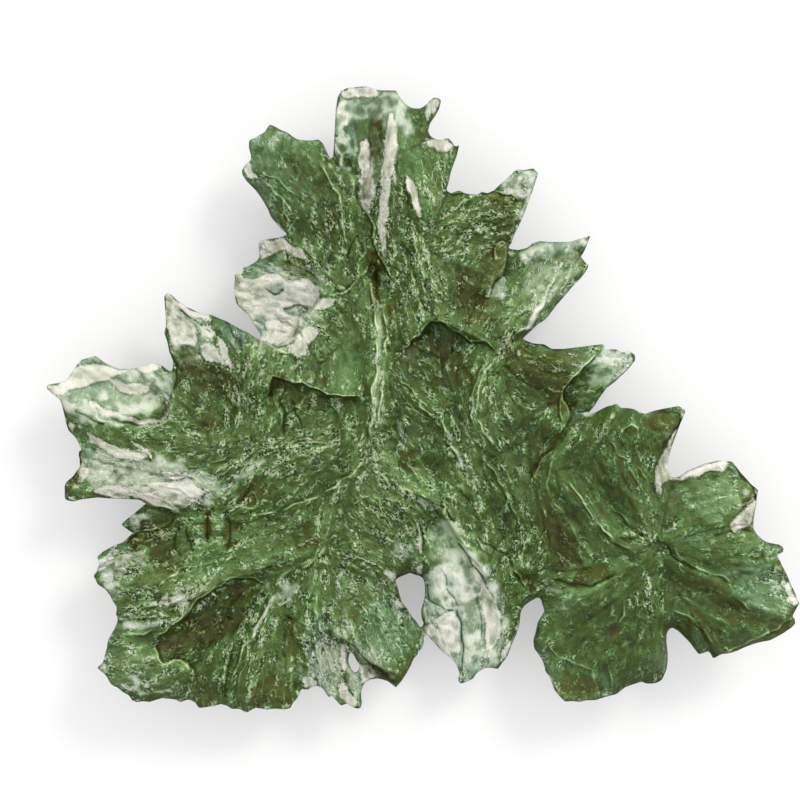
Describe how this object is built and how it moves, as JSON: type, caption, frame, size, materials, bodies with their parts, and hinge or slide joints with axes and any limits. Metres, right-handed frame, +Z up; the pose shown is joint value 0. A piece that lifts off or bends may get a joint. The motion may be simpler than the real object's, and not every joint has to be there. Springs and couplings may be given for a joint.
{
  "type": "moldavite",
  "caption": "Leaf-shaped natural green glass stone, etched into thin lobes, fins, ribs and hollows, lying on the low lumps of its underside.",
  "frame": {"origin": "bottom centre of the bounding box, on the surface that the stone rests on", "axes": "+X across the widest lobes, +Y towards the top lobe, +Z up through the stone's thickness"},
  "size_m": [0.056, 0.0468, 0.0096],
  "materials": {
    "green_glass": "natural bottle-green glass, etched to a satin gloss with fine flow lines; thin edges almost clear, thick parts dark olive green"
  },
  "bodies": {
    "root": {"moldavite": "green_glass"}
  },
  "joints": []
}
